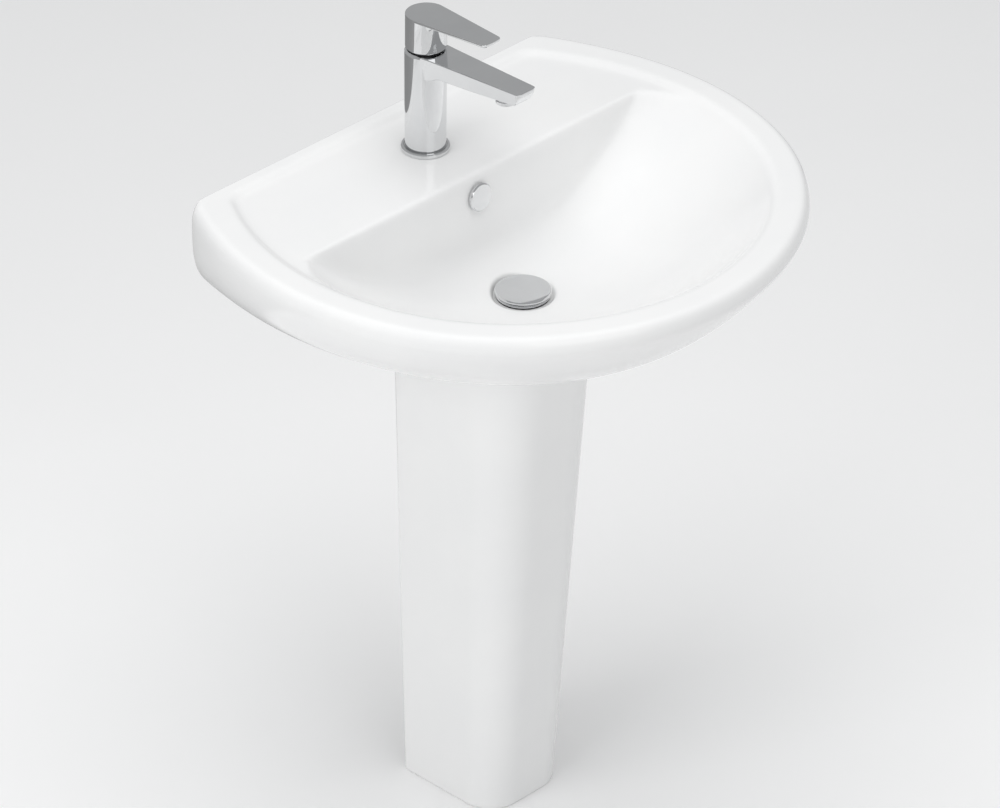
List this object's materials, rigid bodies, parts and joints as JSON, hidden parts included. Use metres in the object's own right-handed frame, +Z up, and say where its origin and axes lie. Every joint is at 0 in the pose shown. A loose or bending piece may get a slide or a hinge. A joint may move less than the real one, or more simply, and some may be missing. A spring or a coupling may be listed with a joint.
{
  "type": "pedestal wash basin",
  "caption": "Pedestal wash basin with a D-shaped bowl, raised rim and tap ledge, single-lever mixer with flat spout, click-clack waste and bottle trap.",
  "frame": {"origin": "on the floor, at the centre of the bounding box", "axes": "+Z up, +Y towards the wall, the user stands at -Y, +X to the user's right"},
  "size_m": [0.6742, 0.5576, 0.9782],
  "materials": {
    "china": "glossy white glaze",
    "chrome_plate": "polished",
    "steel": "zinc plated",
    "brass": "machined",
    "rubber": "matte black",
    "white_plastic": "moulded",
    "grey_plastic": "moulded"
  },
  "bodies": {
    "basin_set": {"basin": "china", "pedestal": "china", "pedestal_pad_left": "rubber", "pedestal_pad_right": "rubber", "pedestal_pad_front": "rubber", "floor_screw_washer_left": "white_plastic", "floor_screw_left": "steel", "floor_screw_washer_right": "white_plastic", "floor_screw_right": "steel", "hanger_bolt_left": "steel", "hanger_bush_left": "white_plastic", "hanger_nut_left": "steel", "hanger_bolt_right": "steel", "hanger_bush_right": "white_plastic", "hanger_nut_right": "steel", "mixer_base_gasket": "rubber", "mixer_base_ring": "chrome_plate", "mixer_body_spout": "chrome_plate", "aerator_housing": "chrome_plate", "aerator_insert": "white_plastic", "cartridge": "white_plastic", "cartridge_nut": "brass", "mixer_collar": "grey_plastic", "mixer_shank": "brass", "mixer_clamp_gasket": "rubber", "mixer_clamp_washer": "steel", "mixer_clamp_nut": "brass", "hot_inlet": "steel", "cold_inlet": "steel", "overflow_cover": "chrome_plate", "overflow_sleeve": "white_plastic", "waste_flange_seal": "rubber", "waste_tube": "chrome_plate", "click_spider": "brass", "click_spring": "steel", "waste_lower_gasket": "rubber", "waste_locknut": "brass", "tailpiece": "chrome_plate", "tailpiece_nut": "chrome_plate", "trap_body": "chrome_plate", "trap_inlet_nut": "chrome_plate", "trap_cup": "chrome_plate", "trap_outlet_nut": "chrome_plate", "outlet_pipe": "chrome_plate", "wall_flange": "chrome_plate"},
    "lever_turret": {"cartridge_turret": "white_plastic", "cartridge_pin": "steel"},
    "lever": {"cartridge_stem": "steel", "lever_handle": "chrome_plate", "lever_set_screw": "steel", "lever_screw_plug": "grey_plastic"},
    "waste_plug": {"waste_cap": "chrome_plate", "waste_cap_seal": "rubber", "click_stem": "steel"}
  },
  "joints": [
    {"name": "lever_swivel", "type": "hinge", "parent": "basin_set", "child": "lever_turret", "pos_m": [0, 0.1873, 0.908], "axis": [0, 0, 1], "range_deg": [-40, 40]},
    {"name": "lever_lift", "type": "hinge", "parent": "lever_turret", "child": "lever", "pos_m": [0, 0.1873, 0.908], "axis": [-1, 0, 0], "range_deg": [0, 18]},
    {"name": "plug_slide", "type": "slide", "parent": "basin_set", "child": "waste_plug", "axis": [0, 0, 1], "range_m": [0, 0.008], "deforming": ["click_spring"]}
  ]
}
